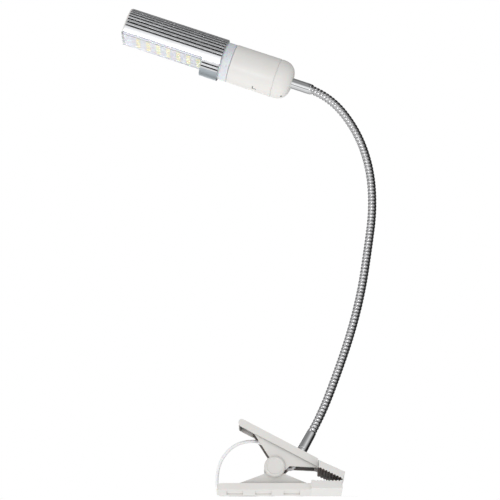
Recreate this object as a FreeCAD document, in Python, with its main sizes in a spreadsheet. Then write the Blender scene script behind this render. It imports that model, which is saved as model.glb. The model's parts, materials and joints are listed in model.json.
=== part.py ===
"""Clip-on reading lamp: a sprung clip, a bendable metal neck, a lamp holder and a screw-in LED lamp.

Millimetres. The origin is the centre of the clip's flat underside, +Z is up and +X runs towards the
jaws. The lamp reaches over to -X, and the clip's pivot runs along Y.
"""

import FreeCAD, Part
import math
import os

import Sketcher
from FreeCAD import Placement, Rotation, Vector

DRIVING_SIZES = [
    # the clip's lower half
    ("plate_back", 61.5), ("plate_front", 30.5), ("plate_width", 36), ("plate_thick", 6.5),
    ("plate_corner", 7), ("tongue_reach", 26), ("tongue_width", 26), ("tongue_thick", 3.6),
    ("pivot_x", -4.8), ("pivot_z", 23.8), ("pin_radius", 2.5), ("pin_play", 0.05),
    ("ear_outer", 17.6), ("ear_inner", 12.6), ("ear_back", 43.5), ("ear_front", 30.5),
    ("ear_round", 9.5),
    # the clip's upper half
    ("rim_width", 28), ("cheek_outer", 22.6), ("cheek_inner", 18.6), ("lever_wall", 2.8),
    ("lever_tip", 42), ("lever_front", 37.5), ("lever_height", 51.6), ("lever_slope", 28),
    ("rim_depth", 8.2), ("tip_round", 3.2), ("cap_radius", 10.4), ("cap_thick", 3.3), ("cap_bevel", 1.4),
    ("spring_wire", 1.6), ("spring_radius", 6.2), ("spring_pitch", 1.75),
    # the rubber boots on both jaws
    ("boot_width", 50), ("boot_length", 30.5), ("boot_height", 8.3), ("boot_corner", 3),
    ("tooth_depth", 0.8),
    # the neck
    ("neck_radius", 4.45), ("neck_bore", 2.8), ("lead_radius", 1.6), ("link_length", 43.45),
    ("cup_radius", 4.55), ("cup_gap", 2.2), ("ball_opening", 3.0),
    ("neck_start_x", 31.2), ("neck_start_z", 59.4), ("neck_start_angle", 61.4),
    ("ferrule_radius", 5.25), ("ferrule_length", 21.6), ("nut_radius", 7.5), ("nut_thick", 3.5),
    ("sleeve_radius", 5.4), ("sleeve_length", 16),
    # the lamp holder
    ("holder_radius", 20), ("holder_wall", 2.2), ("dome_length", 17), ("holder_length", 47),
    ("shell_radius", 14.2), ("shell_wall", 0.5), ("insert_radius", 16.5), ("insert_thick", 9),
    # the LED lamp
    ("lamp_cap_radius", 13.2), ("collar_radius", 19.6), ("collar_bore", 14), ("collar_length", 10.3),
    ("sink_radius", 21.8), ("sink_length", 103.4), ("led_plane", 9), ("block_length", 18.5),
    ("groove_width", 1.5), ("groove_depth", 3.0), ("sink_wall", 1.8), ("sink_face", 2),
    ("cover_width", 35.6), ("cover_depth", 2.4), ("cover_wall", 0.6),
    ("board_width", 34), ("board_thick", 1), ("chip_pitch", 10.8), ("chip_row_gap", 9.6),
    ("chip_length", 4), ("chip_width", 6.4), ("chip_thick", 0.7),
    ("driver_length", 60), ("driver_width", 33), ("driver_thick", 1.6), ("driver_level", -3),
    # the cord
    ("cord_radius", 1.6), ("coil_radius", 23), ("coil_half_width", 7), ("coil_height", 12.4),
    ("coil_x", -31), ("coil_y", 64),
    ("plug_length", 36), ("plug_width", 35.3), ("plug_thick", 13.7), ("plug_x", 24), ("plug_y", 80),
    ("plug_pin_radius", 2.0), ("plug_pin_length", 19), ("plug_pin_gap", 19),
]

# Each length of the neck turns by this many degrees, from the clip up.
LINK_TURNS = [7.8, 1.9, 4.6, 5.4, 1.2, 11.1, 16, 19, 32.6]

# The cord's route from the clip to its coil, and from the coil to the plug.
CORD_ROUTE = [
    (-21.4, 0, 51), (-34, 0, 51.8), (-49, 1, 44.5), (-59, 5, 31), (-62, 16, 17),
    (-61, 30, 6.6), (-58.9, 44, 1.7), (-59.4, 55, 1.7),
]
TAIL_ROUTE = [(-21.5, 92.2, 10.7), (-8, 90.5, 9.4), (2, 82.5, 7.4), (12, 80, 6.85)]

doc = FreeCAD.newDocument("ClipLamp")
sheet = doc.addObject("Spreadsheet::Sheet", "Sizes")


class Size:
    """A length with its value and the formula that ties it to the sheet."""

    def __init__(self, value, formula):
        self.value = value
        self.formula = formula

    def joined(self, other, sign, value):
        text = other.formula if isinstance(other, Size) else str(other)
        return Size(value, f"({self.formula} {sign} {text})")

    def __add__(self, other):
        return self.joined(other, "+", self.value + number(other))

    def __sub__(self, other):
        return self.joined(other, "-", self.value - number(other))

    def __mul__(self, other):
        return self.joined(other, "*", self.value * number(other))

    def __truediv__(self, other):
        return self.joined(other, "/", self.value / number(other))

    def __neg__(self):
        return Size(-self.value, f"(0 - {self.formula})")

    __radd__ = __add__
    __rmul__ = __mul__


def number(size):
    return size.value if isinstance(size, Size) else float(size)


def fill_sheet():
    sizes = {}
    for row, (alias, value) in enumerate(DRIVING_SIZES, start=1):
        sheet.set(f"A{row}", alias)
        sheet.set(f"B{row}", str(value))
        sheet.setAlias(f"B{row}", alias)
        sizes[alias] = Size(float(value), f"Sizes.{alias}")
    doc.recompute()
    return sizes


S = fill_sheet()


def bind(target, name, size):
    """Sets a property, and ties it to the sheet when its size comes from there."""
    if isinstance(size, Size):
        setattr(target, name, size.value)
        target.setExpression(name, size.formula)
    else:
        setattr(target, name, size)


# ---------------------------------------------------------------- places


def at(x=0, y=0, z=0, axis=(0, 0, 1), angle=0):
    place = Vector(number(x), number(y), number(z))
    return Placement(place, Rotation(Vector(*axis), angle))


ALONG_X = ((0, 1, 0), 90)
ALONG_Y = ((1, 0, 0), -90)


def neck_places():
    """Where each length of neck starts, as (x, z, heading in degrees), and where the last ends."""
    x, z = S["neck_start_x"].value, S["neck_start_z"].value
    heading = S["neck_start_angle"].value
    length = S["link_length"].value
    places = [(x, z, heading)]
    for turn in LINK_TURNS:
        middle = math.radians(heading + turn / 2)
        half = math.radians(turn / 2)
        chord = length * math.sin(half) / half
        x += chord * math.cos(middle)
        z += chord * math.sin(middle)
        heading += turn
        places.append((x, z, heading))
    return places


NECK = neck_places()


def head_place():
    """The lamp head's frame: +X runs along it from the neck outwards, +Z points to its LED side."""
    x, z, heading = NECK[-1]
    reach = S["sleeve_length"].value
    start = Vector(x, 0, z) + along(heading) * reach
    return Placement(start, Rotation(Vector(0, 1, 0), -heading))


def along(heading):
    """The direction of a heading in the XZ plane."""
    angle = math.radians(heading)
    return Vector(math.cos(angle), 0, math.sin(angle))


def neck_frame(place):
    """A frame at a point of the neck, with +Z along the neck."""
    x, z, heading = place
    return Placement(Vector(x, 0, z), Rotation(Vector(0, 1, 0), 90 - heading))


HEAD = head_place()

# ---------------------------------------------------------------- ways of making a piece

PARTS = []


def keep(piece, label):
    """Lists a finished object as a sub-part under its label."""
    piece.Label = label
    PARTS.append(piece)
    return piece


def replace_blank(body, finished):
    """Lists a finished object in place of the body that it was cut from."""
    label = body.Label
    PARTS.remove(body)
    body.Label = label + "_blank"
    return keep(finished, label)


def new_body(label, place=None):
    body = doc.addObject("PartDesign::Body", label + "_body")
    if place:
        body.Placement = place
    return keep(body, label)


def plane_of(body, role):
    return [plane for plane in body.Origin.OriginFeatures if plane.Role == role][0]


def outline(body, points, role="XZ_Plane"):
    """A closed sketch through points, each tied to the sheet where it is a Size."""
    sketch = body.newObject("Sketcher::SketchObject", "Outline")
    sketch.AttachmentSupport = [(plane_of(body, role), "")]
    sketch.MapMode = "FlatFace"
    corners = [Vector(number(x), number(y), 0) for x, y in points]
    count = len(corners)
    for i in range(count):
        sketch.addGeometry(Part.LineSegment(corners[i], corners[(i + 1) % count]))
    for i in range(count):
        sketch.addConstraint(Sketcher.Constraint("Coincident", i, 2, (i + 1) % count, 1))
    for i, point in enumerate(points):
        for kind, size in zip(("DistanceX", "DistanceY"), point):
            held = Sketcher.Constraint(kind, -1, 1, i, 1, number(size))
            index = sketch.addConstraint(held)
            if isinstance(size, Size):
                sketch.setExpression(f"Constraints[{index}]", size.formula)
    return sketch


def circle(body, x, y, radius, role="XZ_Plane"):
    sketch = body.newObject("Sketcher::SketchObject", "Circle")
    sketch.AttachmentSupport = [(plane_of(body, role), "")]
    sketch.MapMode = "FlatFace"
    centre = Vector(number(x), number(y), 0)
    sketch.addGeometry(Part.Circle(centre, Vector(0, 0, 1), number(radius)))
    held = [
        (Sketcher.Constraint("DistanceX", -1, 1, 0, 3, number(x)), x),
        (Sketcher.Constraint("DistanceY", -1, 1, 0, 3, number(y)), y),
        (Sketcher.Constraint("Radius", 0, number(radius)), radius),
    ]
    for constraint, size in held:
        index = sketch.addConstraint(constraint)
        if isinstance(size, Size):
            sketch.setExpression(f"Constraints[{index}]", size.formula)
    return sketch


def extrude(body, sketch, width, kind="Pad"):
    """Pads or pockets a sketch by half the width each way."""
    feature = body.newObject("PartDesign::" + kind, kind)
    feature.Profile = sketch
    feature.SideType = "Symmetric"
    bind(feature, "Length", width)
    doc.recompute()
    return feature


def cut_checked(body, sketch, width):
    """A pocket that must take something away."""
    before = body.Shape.Volume
    feature = extrude(body, sketch, width, "Pocket")
    if body.Shape.Volume > before - 0.01:
        raise ValueError(f"a pocket in {body.Label} cuts nothing")
    return feature


def edge_names(shape, wanted):
    return [f"Edge{i}" for i, edge in enumerate(shape.Edges, start=1) if wanted(edge)]


def upright(edge):
    """Whether an edge is straight and runs along Z."""
    if edge.Curve.TypeId != "Part::GeomLine":
        return False
    return abs(edge.Curve.Direction.z) > 0.999


def crossways(edge):
    """Whether an edge is straight and runs along Y."""
    if edge.Curve.TypeId != "Part::GeomLine":
        return False
    return abs(edge.Curve.Direction.y) > 0.999


def soften(body, radius, wanted):
    """Rounds the edges that wanted() picks."""
    names = edge_names(body.Tip.Shape, wanted)
    fillet = body.newObject("PartDesign::Fillet", "Fillet")
    fillet.Base = (body.Group[-2], names)
    bind(fillet, "Radius", radius)
    doc.recompute()
    return fillet


def turned(label, points, place):
    """A body turned about its own X axis from (x, radius) points."""
    body = new_body(label, place)
    sketch = outline(body, points)
    feature = body.newObject("PartDesign::Revolution", "Turned")
    feature.Profile = sketch
    feature.ReferenceAxis = (sketch, ["H_Axis"])
    feature.Angle = 360
    doc.recompute()
    return body


def primitive(kind, place=None, **sizes):
    """A Part primitive whose sizes are tied to the sheet."""
    solid = doc.addObject("Part::" + kind, kind)
    for name, size in sizes.items():
        bind(solid, name, size)
    if place:
        solid.Placement = place
    return solid


def centred_box(x, y, z, length, width, height, place=None):
    """A box from x along X, centred on y and z, inside the frame that place gives."""
    corner = Placement(
        Vector(number(x), number(y) - number(width) / 2, number(z) - number(height) / 2),
        Rotation(),
    )
    full = place.multiply(corner) if place else corner
    return primitive("Box", full, Length=length, Width=width, Height=height)


def fused(*pieces):
    whole = doc.addObject("Part::MultiFuse", "Joined")
    whole.Shapes = list(pieces)
    return whole


def grouped(pieces):
    """Equal pieces kept as separate solids of one sub-part."""
    group = doc.addObject("Part::Compound", "Group")
    group.Links = pieces
    return group


def minus(base, *tools):
    result = base
    for tool in tools:
        cut = doc.addObject("Part::Cut", "Cut")
        cut.Base = result
        cut.Tool = tool
        result = cut
    return result


def feature(label, shape, place=None):
    """A sub-part whose shape is made in code from the sheet's sizes."""
    piece = doc.addObject("Part::Feature", label + "_shape")
    piece.Shape = shape
    if place:
        piece.Placement = place
    return keep(piece, label)


# ---------------------------------------------------------------- the clip


def teeth(start, end, count, depth):
    """Points of a row of blunt teeth from start to end, cut depth into the side on the right."""
    run = Vector(end[0] - start[0], end[1] - start[1], 0)
    pitch = run / count
    inward = Vector(run.y, -run.x, 0).normalize() * depth
    points = []
    for i in range(count):
        base = Vector(start[0], start[1], 0) + pitch * i
        for share, sunk in ((0.2, False), (0.35, True), (0.65, True), (0.8, False)):
            point = base + pitch * share + (inward if sunk else Vector())
            points.append((point.x, point.y))
    return points


def make_base_jaw():
    """The plate that rests on the table, with two ears for the pivot and a tongue for its boot."""
    body = new_body("base_jaw")
    back, front = -S["plate_back"], S["plate_front"]
    thick = S["plate_thick"]
    low = (thick - S["tongue_thick"]) / 2
    reach = front + S["tongue_reach"]
    profile = [
        (back, 0), (front, 0), (front, low), (reach, low),
        (reach, low + S["tongue_thick"]), (front, low + S["tongue_thick"]),
        (front, thick), (back, thick),
    ]
    extrude(body, outline(body, profile), S["plate_width"])
    soften(body, S["plate_corner"], lambda e: upright(e) and e.CenterOfMass.x < -60)
    ear = [
        (-S["ear_back"], thick - 1), (S["ear_front"], thick - 1), (S["ear_front"], thick),
        (S["pivot_x"] + 3.5, S["pivot_z"] - 4), (S["pivot_x"] - 3.5, S["pivot_z"] - 4),
        (-S["ear_back"], thick),
    ]
    extrude(body, outline(body, ear), S["ear_outer"])
    knuckle = circle(body, S["pivot_x"], S["pivot_z"], S["ear_round"])
    extrude(body, knuckle, S["ear_outer"])
    slot = [
        (-S["ear_back"] - 1, thick), (S["ear_front"] + 1, thick),
        (S["ear_front"] + 1, S["pivot_z"] + 12), (-S["ear_back"] - 1, S["pivot_z"] + 12),
    ]
    cut_checked(body, outline(body, slot), S["ear_inner"])
    bore = circle(body, S["pivot_x"], S["pivot_z"], S["pin_radius"] + S["pin_play"])
    cut_checked(body, bore, S["plate_width"])
    for x, length in ((-52, 16), (-24, 16), (4, 16)):
        well = [(x, 0), (x + length, 0), (x + length, 1.2), (x, 1.2)]
        cut_checked(body, outline(body, well), 22)
    return replace_blank(body, minus(body, *foot_grooves()))


def foot_grooves():
    """A shallow groove along the foot of each ear."""
    grooves = []
    length = S["ear_back"] + S["ear_front"]
    for side in (-1, 1):
        y = (S["ear_outer"] / 2 - 0.15) * side
        grooves.append(centred_box(-S["ear_back"], y, S["plate_thick"] + 0.35, length, 0.7, 0.7))
    return grooves


def make_lower_boot():
    """The rubber boot on the lower jaw, toothed on top and ridged across its front end."""
    body = new_body("lower_jaw_pad")
    back = S["plate_front"]
    front = back + S["boot_length"]
    high = S["boot_height"]
    top = teeth((front.value - 1.5, high.value), (back.value + 3, high.value), 8, -S["tooth_depth"].value)
    profile = [(back, 0), (front, 0)]
    for z in (1.6, 3.6, 5.6):
        profile += [(front, z), (front - 0.7, z + 0.3), (front - 0.7, z + 0.7), (front, z + 1.0)]
    profile += [(front, high)] + top + [(back, high)]
    extrude(body, outline(body, profile), S["boot_width"])
    low = (S["plate_thick"] - S["tongue_thick"]) / 2
    reach = back + S["tongue_reach"]
    mouth = [(back, low), (reach, low), (reach, low + S["tongue_thick"]), (back, low + S["tongue_thick"])]
    cut_checked(body, outline(body, mouth), S["plate_width"])
    return body


def lever_top(x):
    """The height of the lever's sloping top at x."""
    return S["lever_height"] - x * math.tan(math.radians(S["lever_slope"].value))


def make_upper_lever():
    """The squeeze lever: an inverted channel whose two cheeks come down to the pivot."""
    body = new_body("upper_lever")
    tip, front = -S["lever_tip"], S["lever_front"]
    depth = S["rim_depth"]
    band = [
        (tip, lever_top(number(tip))), (tip + 2.5, lever_top(number(tip) + 2.5) - depth),
        (front, lever_top(number(front)) - depth), (front, lever_top(number(front))),
    ]
    extrude(body, outline(body, band), S["rim_width"])
    soften(body, S["tip_round"], lambda e: crossways(e) and e.CenterOfMass.x < -36)
    cheek = [
        (-24.7, 56.6), (S["pivot_x"] - 4.7, S["pivot_z"] + 8.8), (S["pivot_x"], S["pivot_z"] - 4),
        (S["pivot_x"] + 10.6, S["pivot_z"] - 3), (S["pivot_x"] + 14.6, S["pivot_z"] + 0.7),
        (front - 2.8, 23.3), (front, 22.6), (front, 28), (-24.7, 61),
    ]
    extrude(body, outline(body, cheek), S["cheek_outer"])
    extrude(body, circle(body, S["pivot_x"], S["pivot_z"], S["ear_round"]), S["cheek_outer"])
    wall = S["lever_wall"]
    hollow = [
        (-26, lever_top(-26) - wall), (-26, 40), (-26, 5), (front - 3.5, 5),
        (front - 3.5, lever_top(number(front) - 3.5) - wall),
    ]
    cut_checked(body, outline(body, hollow), S["cheek_inner"])
    grip = [
        (tip + 3.4, lever_top(number(tip) + 3.4) - wall), (tip + 3.4, 40), (-26, 40),
        (-26, lever_top(-26) - wall),
    ]
    cut_checked(body, outline(body, grip), S["rim_width"] - 4)
    tongue = [
        (front - 1, 27.2), (front - 1, 23.2), (front + 20.5, 13.4), (front + 20.5, 17.0),
    ]
    extrude(body, outline(body, tongue), S["tongue_width"])
    rib = [(-6, lever_top(-6) - 1), (-6, 41.5), (-4, 41.5), (-4, lever_top(-4) - 1)]
    extrude(body, outline(body, rib), S["cheek_inner"])
    cut_checked(body, circle(body, S["pivot_x"], S["pivot_z"], S["pin_radius"]), S["rim_width"])
    shank = primitive(
        "Cylinder", Placement(fitting_frame(-30).Base, fitting_frame(-30).Rotation),
        Radius=S["neck_radius"], Height=60,
    )
    hole = primitive("Cylinder", bushing_frame(-3), Radius=2.6, Height=16)
    return replace_blank(body, minus(body, shank, hole))


def fitting_frame(distance):
    """A frame on the neck's first straight, this far above where the neck's lengths begin."""
    x, z, heading = NECK[0]
    place = neck_frame(NECK[0])
    start = Vector(x, 0, z) + along(heading) * distance
    return Placement(start, place.Rotation)


BUSH_START = Vector(-3.5, 0, 45.6)
BUSH_END = Vector(-21, 0, 51)


def bushing_frame(distance):
    """A frame on the cord's strain relief, with +Z along it towards the cord."""
    way = (BUSH_END - BUSH_START).normalize()
    return Placement(BUSH_START + way * distance, Rotation(Vector(0, 0, 1), way))


def make_upper_boot():
    """The rubber boot on the lever's jaw, toothed underneath."""
    body = new_body("upper_jaw_pad")
    back, low_back = (37.5, 28.3), (37.5, 20.9)
    front, low_front = (63.5, 16.4), (61.3, 9.2)
    bite = teeth((low_front[0] - 1, low_front[1] + 0.5), (low_back[0] + 1, low_back[1] - 0.5), 8,
                 S["tooth_depth"].value)
    profile = [back, low_back] + bite[::-1] + [low_front, front]
    extrude(body, outline(body, profile), S["boot_width"])
    front_x = S["lever_front"] + 20.5
    mouth = [(37.5, 26.75), (37.5, 22.75), (front_x, 13.4), (front_x, 17.0)]
    cut_checked(body, outline(body, mouth), S["tongue_width"])
    return body


def make_pivot():
    """The pin through both halves and its two round caps."""
    pin = primitive("Cylinder", at(S["pivot_x"], -S["cheek_outer"] / 2, S["pivot_z"], *ALONG_Y),
                    Radius=S["pin_radius"], Height=S["cheek_outer"])
    keep(pin, "pivot_pin")
    radius, thick, bevel = S["cap_radius"], S["cap_thick"], S["cap_bevel"]
    profile = [
        (0, 0), (0, radius), (thick - bevel, radius), (thick - bevel * 0.4, radius - 0.6),
        (thick, radius - bevel - 0.8), (thick - 0.5, radius - bevel - 1.5), (thick - 0.5, 0),
    ]
    half = S["cheek_outer"] / 2
    turned("pivot_cap_front", profile, at(S["pivot_x"], -half, S["pivot_z"], (0, 0, 1), -90))
    turned("pivot_cap_back", profile, at(S["pivot_x"], half, S["pivot_z"], (0, 0, 1), 90))


def make_spring():
    """The torsion spring: a coil round the pin with one leg on the plate and one under the lever."""
    wire = S["spring_wire"].value / 2
    radius = S["spring_radius"].value
    pitch = S["spring_pitch"].value
    turns = 4 + 95 / 360
    plate_leg, lever_leg = 23.5, 33.2
    helix = Part.makeHelix(pitch, pitch * turns, radius)
    rise = Vector(0, radius, pitch / (2 * math.pi)).normalize()
    start = Vector(radius, 0, 0)
    end = helix.Vertexes[-1].Point
    leave = Rotation(Vector(0, 0, 1), turns * 360).multVec(rise)
    foot = start - rise * plate_leg
    path = Part.Wire([
        Part.LineSegment(foot, start).toShape(), *helix.Edges,
        Part.LineSegment(end, end + leave * lever_leg).toShape(),
    ])
    sweep = Part.BRepOffsetAPI.MakePipeShell(path)
    sweep.setBiNormalMode(Vector(0, 0, 1))
    sweep.add(Part.Wire(Part.makeCircle(wire, foot, rise)))
    sweep.build()
    sweep.makeSolid()
    place = at(S["pivot_x"], pitch * turns / 2, S["pivot_z"], (1, 0, 0), 90)
    turn = Placement(Vector(), Rotation(Vector(0, 0, 1), 295))
    return feature("torsion_spring", sweep.shape(), place.multiply(turn))


# ---------------------------------------------------------------- the neck


def tube_arc(radius, start_trim, end_trim, turn):
    """A stretch of a link's arc as part of a torus, less a trim at each end, in the link's frame."""
    angle = math.radians(turn)
    bend = S["link_length"].value / angle
    torus = primitive("Torus", Radius1=bend, Radius2=radius)
    torus.setExpression("Radius1", f"Sizes.link_length / {angle}")
    torus.Angle3 = math.degrees((S["link_length"].value - start_trim - end_trim) / bend)
    # The torus turns about its own Z; here that is the link's -Y, and its start is the link's foot.
    lift = Rotation(Vector(1, 0, 0), 90)
    spin = Rotation(Vector(0, 0, 1), math.degrees(start_trim / bend))
    torus.Placement = Placement(Vector(-bend, 0, 0), lift.multiply(spin))
    return torus


def make_link(index, turn):
    """One length of neck: a curved tube with a ball at its foot and a cup at its top."""
    frame = neck_frame(NECK[index])
    top = neck_frame(NECK[index + 1])
    trim = S["cup_gap"].value if index < len(LINK_TURNS) - 1 else 0
    tube = tube_arc(S["neck_radius"], 0, trim, turn)
    bore = tube_arc(S["neck_bore"], 0, 0, turn)
    for piece in (tube, bore):
        piece.Placement = frame.multiply(piece.Placement)
    parts = [tube]
    cuts = [bore]
    if index > 0:
        parts.append(primitive("Sphere", frame, Radius=S["neck_radius"]))
        below = frame.multiply(Placement(Vector(0, 0, -6), Rotation()))
        cuts.append(primitive("Cylinder", below, Radius=S["neck_bore"], Height=6))
        under = frame.multiply(Placement(Vector(-10, -10, -20 - S["ball_opening"].value), Rotation()))
        cuts.append(primitive("Box", under, Length=20, Width=20, Height=20))
    if trim:
        cuts.append(primitive("Sphere", top, Radius=S["cup_radius"]))
    whole = fused(*parts) if len(parts) > 1 else parts[0]
    keep(minus(whole, *cuts), f"neck_link_{index + 1}")
    last = index == len(LINK_TURNS) - 1
    lead = tube_arc(S["lead_radius"], 0.6, 0 if last else 4.8, turn)
    lead.Placement = frame.multiply(lead.Placement)
    keep(lead, f"neck_lead_{index + 1}")


def make_fittings():
    """The chrome ferrule at the clip with its washer and nut, and the chrome sleeve at the holder."""
    radius, length = S["ferrule_radius"], S["ferrule_length"]
    bore = S["neck_radius"]
    foot = fitting_frame(0)
    down = foot.multiply(Placement(Vector(), Rotation(Vector(0, 1, 0), 90)))
    turned("neck_ferrule", [
        (-1.5, bore), (0.8, bore), (length - 0.6, bore), (length, bore + 0.5), (length, radius),
        (length - 5, radius), (1.5, radius - 0.5), (0, radius - 0.6), (-1.5, bore + 0.25),
    ], down)
    slope = math.radians(S["lever_slope"].value)
    washer = length.value + S["lever_wall"].value * math.cos(slope)
    turned("neck_washer", [(washer, bore), (washer, 8.2), (washer + 1, 8.2), (washer + 1, bore)], down)
    nut = primitive("Prism", foot.multiply(Placement(
        Vector(0, 0, -washer - 1 - S["nut_thick"].value), Rotation())),
        Polygon=6, Circumradius=S["nut_radius"], Height=S["nut_thick"])
    hole = primitive("Cylinder", foot.multiply(Placement(Vector(0, 0, -washer - 8), Rotation())),
                     Radius=bore, Height=12)
    keep(minus(nut, hole), "neck_lock_nut")
    shank_length = washer + 1 + S["nut_thick"].value + 1.5
    turned("neck_shank", [
        (0, S["neck_bore"]), (shank_length, S["neck_bore"]), (shank_length, bore), (0, bore),
    ], down)
    top = neck_frame(NECK[-1]).multiply(Placement(Vector(), Rotation(Vector(0, 1, 0), -90)))
    outer = S["sleeve_radius"]
    reach = S["sleeve_length"] + 4
    turned("neck_sleeve", [
        (-6, bore), (-6, outer - 0.6), (-4.5, outer - 0.2), (0, outer), (S["sleeve_length"], outer),
        (reach, outer), (reach, S["neck_bore"]), (0.3, S["neck_bore"]), (0.3, bore),
    ], top)


def make_inner_lead():
    """The lead from the neck's foot to the cord's strain relief, inside the lever."""
    start = fitting_frame(-30.2).Base
    route = [start, Vector(13.2, 0, 22.6), Vector(4.4, 0, 24.2), Vector(7, 0, 42.4), bushing_frame(17.2).Base]
    return feature("clip_lead", rounded_tube(route, S["lead_radius"].value, "clip_lead"))


def make_bushing():
    """The tapered strain relief in the lever's rib, bored for the cord."""
    place = bushing_frame(0).multiply(Placement(Vector(), Rotation(Vector(0, 1, 0), -90)))
    reach = (BUSH_END - BUSH_START).Length
    inner = S["cord_radius"].value
    turned("cord_relief", [
        (-3, inner), (-3, 3.9), (-1, 3.9), (-1, 2.6), (3.9, 2.6), (3.9, 3.7),
        (reach, inner + 0.6), (reach, inner),
    ], place)


# ---------------------------------------------------------------- cords


def rounded_tube(points, radius, name):
    """A tube along straight runs joined by arcs as large as the runs allow; prints its radii."""
    edges = []
    start = points[0]
    radii = []
    for before, corner, after in zip(points, points[1:], points[2:]):
        arrive = (corner - before).normalize()
        leave = (after - corner).normalize()
        turn = arrive.getAngle(leave)
        shorter = min((corner - before).Length, (after - corner).Length)
        bend = 0.45 * shorter / math.tan(turn / 2)
        radii.append(round(bend, 1))
        near = corner - arrive * 0.45 * shorter
        far = corner + leave * 0.45 * shorter
        inward = (leave - arrive).normalize()
        middle = corner + inward * (bend / math.cos(turn / 2) - bend)
        edges.append(Part.LineSegment(start, near).toShape())
        edges.append(Part.Arc(near, middle, far).toShape())
        start = far
    edges.append(Part.LineSegment(start, points[-1]).toShape())
    path = Part.Wire(edges)
    section = Part.Wire(Part.makeCircle(radius, points[0], (points[1] - points[0])))
    tube = path.makePipeShell([section], True, True)
    expected = math.pi * radius ** 2 * path.Length
    print(name, "radii", radii, "length", round(path.Length, 1), "volume/expected",
          round(tube.Volume / expected, 4))
    return tube


def make_cord():
    """The free cord as it lies: down to the table, a coil behind the clip, and a tail to the plug."""
    radius = S["cord_radius"].value
    feature("cord_tube", rounded_tube([Vector(*p) for p in CORD_ROUTE], radius, "cord_tube"))
    feature("cord_tail", rounded_tube([Vector(*p) for p in TAIL_ROUTE], radius, "cord_tail"))
    outer = primitive("Cylinder", at(S["coil_x"], S["coil_y"], 0),
                      Radius=S["coil_radius"] + S["coil_half_width"], Height=S["coil_height"])
    inner = primitive("Cylinder", at(S["coil_x"], S["coil_y"], -1),
                      Radius=S["coil_radius"] - S["coil_half_width"], Height=S["coil_height"] + 2)
    keep(minus(outer, inner), "cord_coil")


def make_plug():
    """The flat two-pin plug at the cord's end, with its own tapered relief."""
    x, y = S["plug_x"], S["plug_y"]
    body = new_body("plug_body", at(0, y, S["plug_thick"] / 2))
    half = S["plug_width"] / 2
    end = x + S["plug_length"]
    profile = [
        (x, -7), (x + 9, -half + 2), (end - 7, -half), (end, -half),
        (end, half), (end - 7, half), (x + 9, half - 2), (x, 7),
    ]
    extrude(body, outline(body, profile, "XY_Plane"), S["plug_thick"])
    soften(body, 1.6, lambda e: not upright(e) and e.CenterOfMass.x < end.value - 1)
    cone = primitive("Cone", at(12, y, S["plug_thick"] / 2, *ALONG_X),
                     Radius1=2.9, Radius2=4.6, Height=13)
    bore = primitive("Cylinder", at(11, y, S["plug_thick"] / 2, *ALONG_X),
                     Radius=S["cord_radius"], Height=1)
    replace_blank(body, minus(fused(body, cone), bore))
    pins = []
    for side in (-1, 1):
        place = at(end, y + S["plug_pin_gap"] / 2 * side, S["plug_thick"] / 2, *ALONG_X)
        pins.append(primitive("Cylinder", place, Radius=S["plug_pin_radius"],
                              Height=S["plug_pin_length"]))
    keep(grouped(pins), "plug_pins")


# ---------------------------------------------------------------- the lamp holder


def skin_slot(x, angle, length, width, reach):
    """A shallow slot in the holder's skin at x along it, this many degrees round from the LED side."""
    spin = Placement(Vector(), Rotation(Vector(1, 0, 0), angle))
    place = HEAD.multiply(spin)
    corner = Placement(Vector(x, -width / 2, number(reach)), Rotation())
    return primitive("Box", place.multiply(corner), Length=length, Width=width, Height=4)


def make_holder():
    """The holder's domed cap and its body, with the latch slots cut in both."""
    outer, wall = S["holder_radius"], S["holder_wall"]
    dome, length = S["dome_length"], S["holder_length"]
    end = dome + length
    neck = S["sleeve_radius"]
    cap = turned("holder_cap", [
        (0, neck), (0, 7.5), (1.2, 11.5), (3.4, 14.9), (6.6, 17.6), (10.6, 19.3), (dome - 3, outer),
        (dome, outer), (dome, outer - wall), (dome - 3, outer - wall), (10.8, 17.2),
        (7.2, 15.6), (4.6, 13.2), (3, 10), (3, neck),
    ], HEAD)
    replace_blank(cap, minus(cap, skin_slot(5, 8, 1.6, 2.6, 15.6)))
    body = turned("holder_body", [
        (dome, outer - wall), (dome, outer), (end, outer), (end, 17.4), (end - 2, 17.4),
        (end - 3, outer - wall), (dome + 4, outer - wall),
    ], HEAD)
    latch = [skin_slot(32, 13, 4.5, 1.1, outer - 1.1), skin_slot(35.4, 18, 1.1, 4.0, outer - 1.1)]
    replace_blank(body, minus(body, *latch))


INSERT_START = S["dome_length"] + 3
INSERT_END = INSERT_START + S["insert_thick"]


def make_contacts():
    """The ceramic insert with the threaded shell round the lamp's cap and the centre contact."""
    start, end = INSERT_START, INSERT_END
    shell = S["shell_radius"]
    lip = shell + 1.4
    turned("contact_insert", [
        (start, 0), (start, S["insert_radius"]), (end, S["insert_radius"]), (end, lip),
        (end + 4, lip), (end + 4, shell), (end, shell), (end, 0),
    ], HEAD)
    thread = 0.35
    inner = shell - S["shell_wall"]
    outside, inside = [], []
    for i in range(7):
        swell = thread if i % 2 else 0
        reach = end + 5 + i * 3
        outside.append((reach, shell - thread + swell))
        inside.append((reach, inner - thread + swell))
    turned("screw_shell", [(end, shell)] + outside + inside[::-1] + [(end, inner)], HEAD)
    tongue = fused(
        centred_box(end, 0, 0, 0.6, 6, 14, HEAD),
        centred_box(end, 0, 0, 3.2, 6, 0.6, HEAD),
        centred_box(end + 2.6, 0, 0, 0.6, 6, 7, HEAD),
    )
    keep(tongue, "centre_tongue")


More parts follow.
